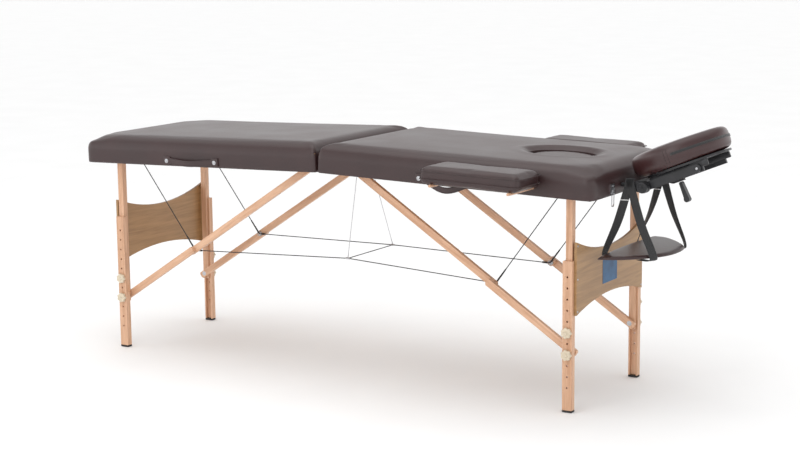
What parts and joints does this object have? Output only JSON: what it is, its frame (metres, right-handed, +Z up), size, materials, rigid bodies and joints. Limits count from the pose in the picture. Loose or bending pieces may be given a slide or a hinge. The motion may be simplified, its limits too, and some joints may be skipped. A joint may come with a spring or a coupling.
{
  "type": "portable massage table",
  "caption": "Two-section folding massage table with wooden legs, cable bracing, padded brown top, tilting headrest, sling shelf and side armrests.",
  "frame": {"origin": "on the floor, under the middle of the object's box", "axes": "+X from the foot end to the head end, +Z up, +Y to the left of a person lying face up"},
  "size_m": [2.1452, 0.88, 0.8156],
  "materials": {
    "brown_vinyl": "satin",
    "beech": "clear lacquer",
    "plywood": "clear lacquer",
    "bright_steel": "satin",
    "steel_cable": "plastic coated",
    "knob_plastic": "gloss",
    "rubber": "matte",
    "black_plastic": "satin",
    "webbing": "woven"
  },
  "bodies": {
    "head_half": {"head_frame": "beech", "head_deck": "plywood", "head_pad": "brown_vinyl", "head_leg_shaft": "bright_steel", "head_brace_shaft": "bright_steel", "head_handle": "brown_vinyl", "head_latch_left": "bright_steel", "head_latch_right": "bright_steel", "hinge_leaf_head": "bright_steel", "cable_net": "steel_cable"},
    "foot_half": {"foot_frame": "beech", "foot_deck": "plywood", "foot_pad": "brown_vinyl", "foot_leg_shaft": "bright_steel", "foot_brace_shaft": "bright_steel", "foot_handle": "brown_vinyl", "hinge_leaf_foot": "bright_steel"},
    "head_legs": {"head_upper_leg_left": "beech", "head_upper_leg_right": "beech", "head_end_panel": "plywood"},
    "head_upper_braces": {"head_upper_brace_left": "beech", "head_upper_brace_right": "beech"},
    "head_lower_braces": {"head_lower_brace_left": "beech", "head_lower_brace_right": "beech"},
    "head_lower_leg_right_body": {"head_lower_leg_right": "beech", "head_foot_cap_right": "rubber"},
    "head_knob_right_1_body": {"head_knob_right_1": "knob_plastic"},
    "head_knob_right_2_body": {"head_knob_right_2": "knob_plastic"},
    "head_lower_leg_left_body": {"head_lower_leg_left": "beech", "head_foot_cap_left": "rubber"},
    "head_knob_left_1_body": {"head_knob_left_1": "knob_plastic"},
    "head_knob_left_2_body": {"head_knob_left_2": "knob_plastic"},
    "foot_legs": {"foot_upper_leg_left": "beech", "foot_upper_leg_right": "beech", "foot_end_panel": "plywood"},
    "foot_upper_braces": {"foot_upper_brace_left": "beech", "foot_upper_brace_right": "beech"},
    "foot_lower_braces": {"foot_lower_brace_left": "beech", "foot_lower_brace_right": "beech"},
    "foot_lower_leg_right_body": {"foot_lower_leg_right": "beech", "foot_foot_cap_right": "rubber"},
    "foot_knob_right_1_body": {"foot_knob_right_1": "knob_plastic"},
    "foot_knob_right_2_body": {"foot_knob_right_2": "knob_plastic"},
    "foot_lower_leg_left_body": {"foot_lower_leg_left": "beech", "foot_foot_cap_left": "rubber"},
    "foot_knob_left_1_body": {"foot_knob_left_1": "knob_plastic"},
    "foot_knob_left_2_body": {"foot_knob_left_2": "knob_plastic"},
    "face_plug_body": {"face_plug": "brown_vinyl"},
    "headrest_base_body": {"headrest_base": "black_plastic"},
    "headrest_arms_body": {"headrest_arms": "black_plastic"},
    "headrest_platform_body": {"headrest_platform": "black_plastic", "face_cushion": "brown_vinyl"},
    "cam_lever_body": {"cam_lever": "black_plastic"},
    "arm_sling": {"arm_shelf": "brown_vinyl", "sling_strap_left": "webbing", "sling_strap_right": "webbing"},
    "armrest_right": {"armrest_pad_right": "brown_vinyl", "armrest_board_right": "beech"},
    "armrest_left": {"armrest_pad_left": "brown_vinyl", "armrest_board_left": "beech"}
  },
  "joints": [
    {"name": "table_fold", "type": "hinge", "parent": "head_half", "child": "foot_half", "pos_m": [-0.14616, 0, 0.648], "axis": [0, -1, 0], "range_deg": [0, 90], "deforming": ["cable_net"]},
    {"name": "head_legs_fold", "type": "hinge", "parent": "head_half", "child": "head_legs", "pos_m": [0.6807, 0, 0.65551], "axis": [0, 1, 0], "range_deg": [0, 91.45], "deforming": ["cable_net"]},
    {"name": "head_upper_brace_fold", "type": "hinge", "parent": "head_half", "child": "head_upper_braces", "pos_m": [-0.10055, 0, 0.67535], "axis": [0, -1, 0], "range_deg": [0, 32.34]},
    {"name": "head_lower_brace_fold", "type": "hinge", "parent": "head_legs", "child": "head_lower_braces", "pos_m": [0.67734, 0, 0.175], "axis": [0, 1, 0], "range_deg": [0, 57.25]},
    {"name": "head_leg_height_right", "type": "slide", "parent": "head_legs", "child": "head_lower_leg_right_body", "axis": [0, 0, -1], "range_m": [-0.0975, 0.13]},
    {"name": "head_knob_right_1_turn", "type": "hinge", "parent": "head_lower_leg_right_body", "child": "head_knob_right_1_body", "pos_m": [0.68034, -0.241, 0.1705], "axis": [0, -1, 0], "continuous": true},
    {"name": "head_knob_right_2_turn", "type": "hinge", "parent": "head_lower_leg_right_body", "child": "head_knob_right_2_body", "pos_m": [0.68034, -0.241, 0.2355], "axis": [0, -1, 0], "continuous": true},
    {"name": "head_leg_height_left", "type": "slide", "parent": "head_legs", "child": "head_lower_leg_left_body", "axis": [0, 0, -1], "range_m": [-0.0975, 0.13]},
    {"name": "head_knob_left_1_turn", "type": "hinge", "parent": "head_lower_leg_left_body", "child": "head_knob_left_1_body", "pos_m": [0.68034, 0.241, 0.1705], "axis": [0, 1, 0], "continuous": true},
    {"name": "head_knob_left_2_turn", "type": "hinge", "parent": "head_lower_leg_left_body", "child": "head_knob_left_2_body", "pos_m": [0.68034, 0.241, 0.2355], "axis": [0, 1, 0], "continuous": true},
    {"name": "foot_legs_fold", "type": "hinge", "parent": "foot_half", "child": "foot_legs", "pos_m": [-0.97302, 0, 0.65551], "axis": [0, -1, 0], "range_deg": [0, 91.45], "deforming": ["cable_net"]},
    {"name": "foot_upper_brace_fold", "type": "hinge", "parent": "foot_half", "child": "foot_upper_braces", "pos_m": [-0.19177, 0, 0.67535], "axis": [0, 1, 0], "range_deg": [0, 32.34]},
    {"name": "foot_lower_brace_fold", "type": "hinge", "parent": "foot_legs", "child": "foot_lower_braces", "pos_m": [-0.96966, 0, 0.175], "axis": [0, -1, 0], "range_deg": [0, 57.25]},
    {"name": "foot_leg_height_right", "type": "slide", "parent": "foot_legs", "child": "foot_lower_leg_right_body", "axis": [0, 0, -1], "range_m": [-0.0975, 0.13]},
    {"name": "foot_knob_right_1_turn", "type": "hinge", "parent": "foot_lower_leg_right_body", "child": "foot_knob_right_1_body", "pos_m": [-0.97266, -0.241, 0.1705], "axis": [0, -1, 0], "continuous": true},
    {"name": "foot_knob_right_2_turn", "type": "hinge", "parent": "foot_lower_leg_right_body", "child": "foot_knob_right_2_body", "pos_m": [-0.97266, -0.241, 0.2355], "axis": [0, -1, 0], "continuous": true},
    {"name": "foot_leg_height_left", "type": "slide", "parent": "foot_legs", "child": "foot_lower_leg_left_body", "axis": [0, 0, -1], "range_m": [-0.0975, 0.13]},
    {"name": "foot_knob_left_1_turn", "type": "hinge", "parent": "foot_lower_leg_left_body", "child": "foot_knob_left_1_body", "pos_m": [-0.97266, 0.241, 0.1705], "axis": [0, 1, 0], "continuous": true},
    {"name": "foot_knob_left_2_turn", "type": "hinge", "parent": "foot_lower_leg_left_body", "child": "foot_knob_left_2_body", "pos_m": [-0.97266, 0.241, 0.2355], "axis": [0, 1, 0], "continuous": true},
    {"name": "face_plug_lift", "type": "slide", "parent": "head_half", "child": "face_plug_body", "axis": [0.0254, 0, 0.9997], "range_m": [0, 0.08]},
    {"name": "headrest_slide", "type": "slide", "parent": "head_half", "child": "headrest_base_body", "axis": [0.9997, 0, -0.0254], "range_m": [0, 0.05]},
    {"name": "headrest_tilt", "type": "hinge", "parent": "headrest_base_body", "child": "headrest_arms_body", "pos_m": [0.85414, 0, 0.6511], "axis": [0, -1, 0], "range_deg": [-35, 10]},
    {"name": "headrest_platform_tilt", "type": "hinge", "parent": "headrest_arms_body", "child": "headrest_platform_body", "pos_m": [1.00708, 0, 0.71303], "axis": [0, 1, 0], "range_deg": [0, 20]},
    {"name": "cam_lever_turn", "type": "hinge", "parent": "headrest_arms_body", "child": "cam_lever_body", "pos_m": [0.9234, 0, 0.65325], "axis": [0, -1, 0], "range_deg": [0, 50]},
    {"name": "arm_sling_swing", "type": "hinge", "parent": "headrest_base_body", "child": "arm_sling", "pos_m": [0.81384, 0, 0.664], "axis": [0, -1, 0], "range_deg": [-5, 15], "deforming": ["sling_strap_left", "sling_strap_right"]},
    {"name": "armrest_right_pull", "type": "slide", "parent": "head_half", "child": "armrest_right", "axis": [0, -1, 0], "range_m": [0, 0.05]},
    {"name": "armrest_left_pull", "type": "slide", "parent": "head_half", "child": "armrest_left", "axis": [0, 1, 0], "range_m": [0, 0.05]}
  ],
  "couplings": [
    {"joint": "head_upper_brace_fold", "follows": "head_legs_fold", "ratio": 0.35367},
    {"joint": "head_lower_brace_fold", "follows": "head_legs_fold", "ratio": 0.626},
    {"joint": "foot_upper_brace_fold", "follows": "foot_legs_fold", "ratio": 0.35367},
    {"joint": "foot_lower_brace_fold", "follows": "foot_legs_fold", "ratio": 0.626}
  ]
}
